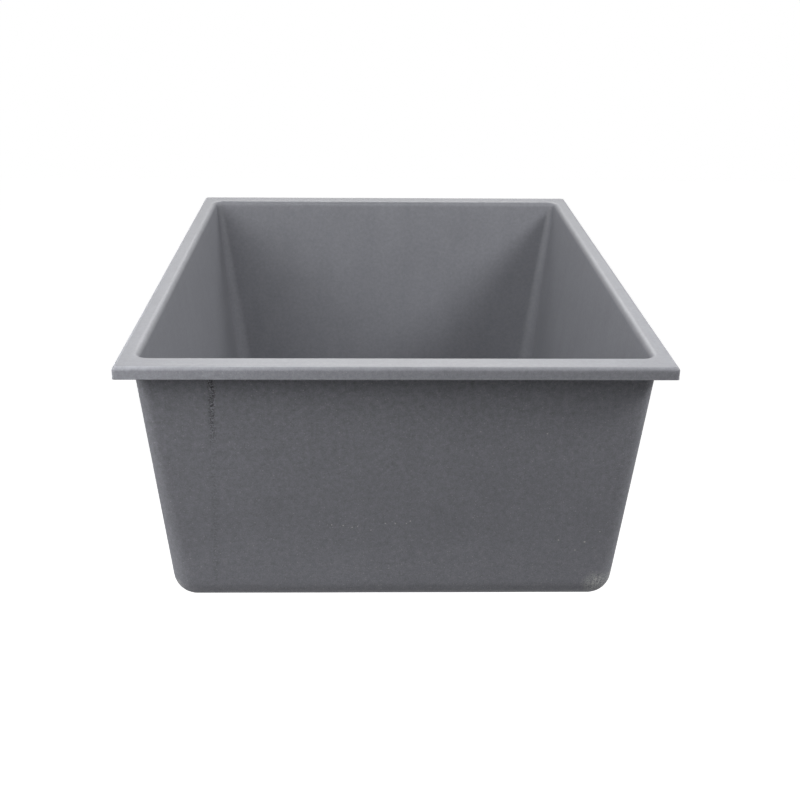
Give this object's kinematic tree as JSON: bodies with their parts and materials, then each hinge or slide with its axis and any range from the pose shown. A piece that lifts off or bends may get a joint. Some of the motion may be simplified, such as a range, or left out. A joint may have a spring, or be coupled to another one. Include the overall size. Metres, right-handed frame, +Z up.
{
  "type": "undermount kitchen sink",
  "caption": "Deep single-bowl undermount kitchen sink in grey granite composite, with a flat square rim, tapered walls, a basket strainer and a tailpiece.",
  "frame": {"origin": "centre of the bowl's opening, on the flat top of the rim, which is the plane that lies against the underside of the worktop", "axes": "+Z up, +Y along the bowl's length to the back short end, +X to the right seen from the front short end"},
  "size_m": [0.47, 0.626, 0.3748],
  "materials": {
    "composite": "fine-grained satin, granite-filled acrylic",
    "stainless": "brushed",
    "zinc": "dull plated",
    "brass": "machined",
    "black_rubber": "matt",
    "fibre": "pressed fibre board",
    "white_plastic": "moulded"
  },
  "bodies": {
    "sink": {"bowl": "composite", "flange_pad": "black_rubber", "strainer_cup": "stainless", "sink_gasket": "black_rubber", "friction_ring": "fibre", "locknut": "zinc", "tailpiece_washer": "white_plastic", "tailpiece": "stainless", "coupling_nut": "brass"},
    "strainer_basket": {"basket": "stainless", "grip_ring": "black_rubber"},
    "stopper": {"stopper_stem": "stainless", "stopper_knob": "stainless", "stopper_seal": "black_rubber", "seal_washer": "stainless", "stem_nut": "brass"}
  },
  "joints": [
    {"name": "basket_lift", "type": "slide", "parent": "sink", "child": "strainer_basket", "axis": [0, 0, 1], "range_m": [0, 0.3]},
    {"name": "stopper_push", "type": "slide", "parent": "strainer_basket", "child": "stopper", "axis": [0, 0, 1], "range_m": [-0.008, 0]}
  ]
}
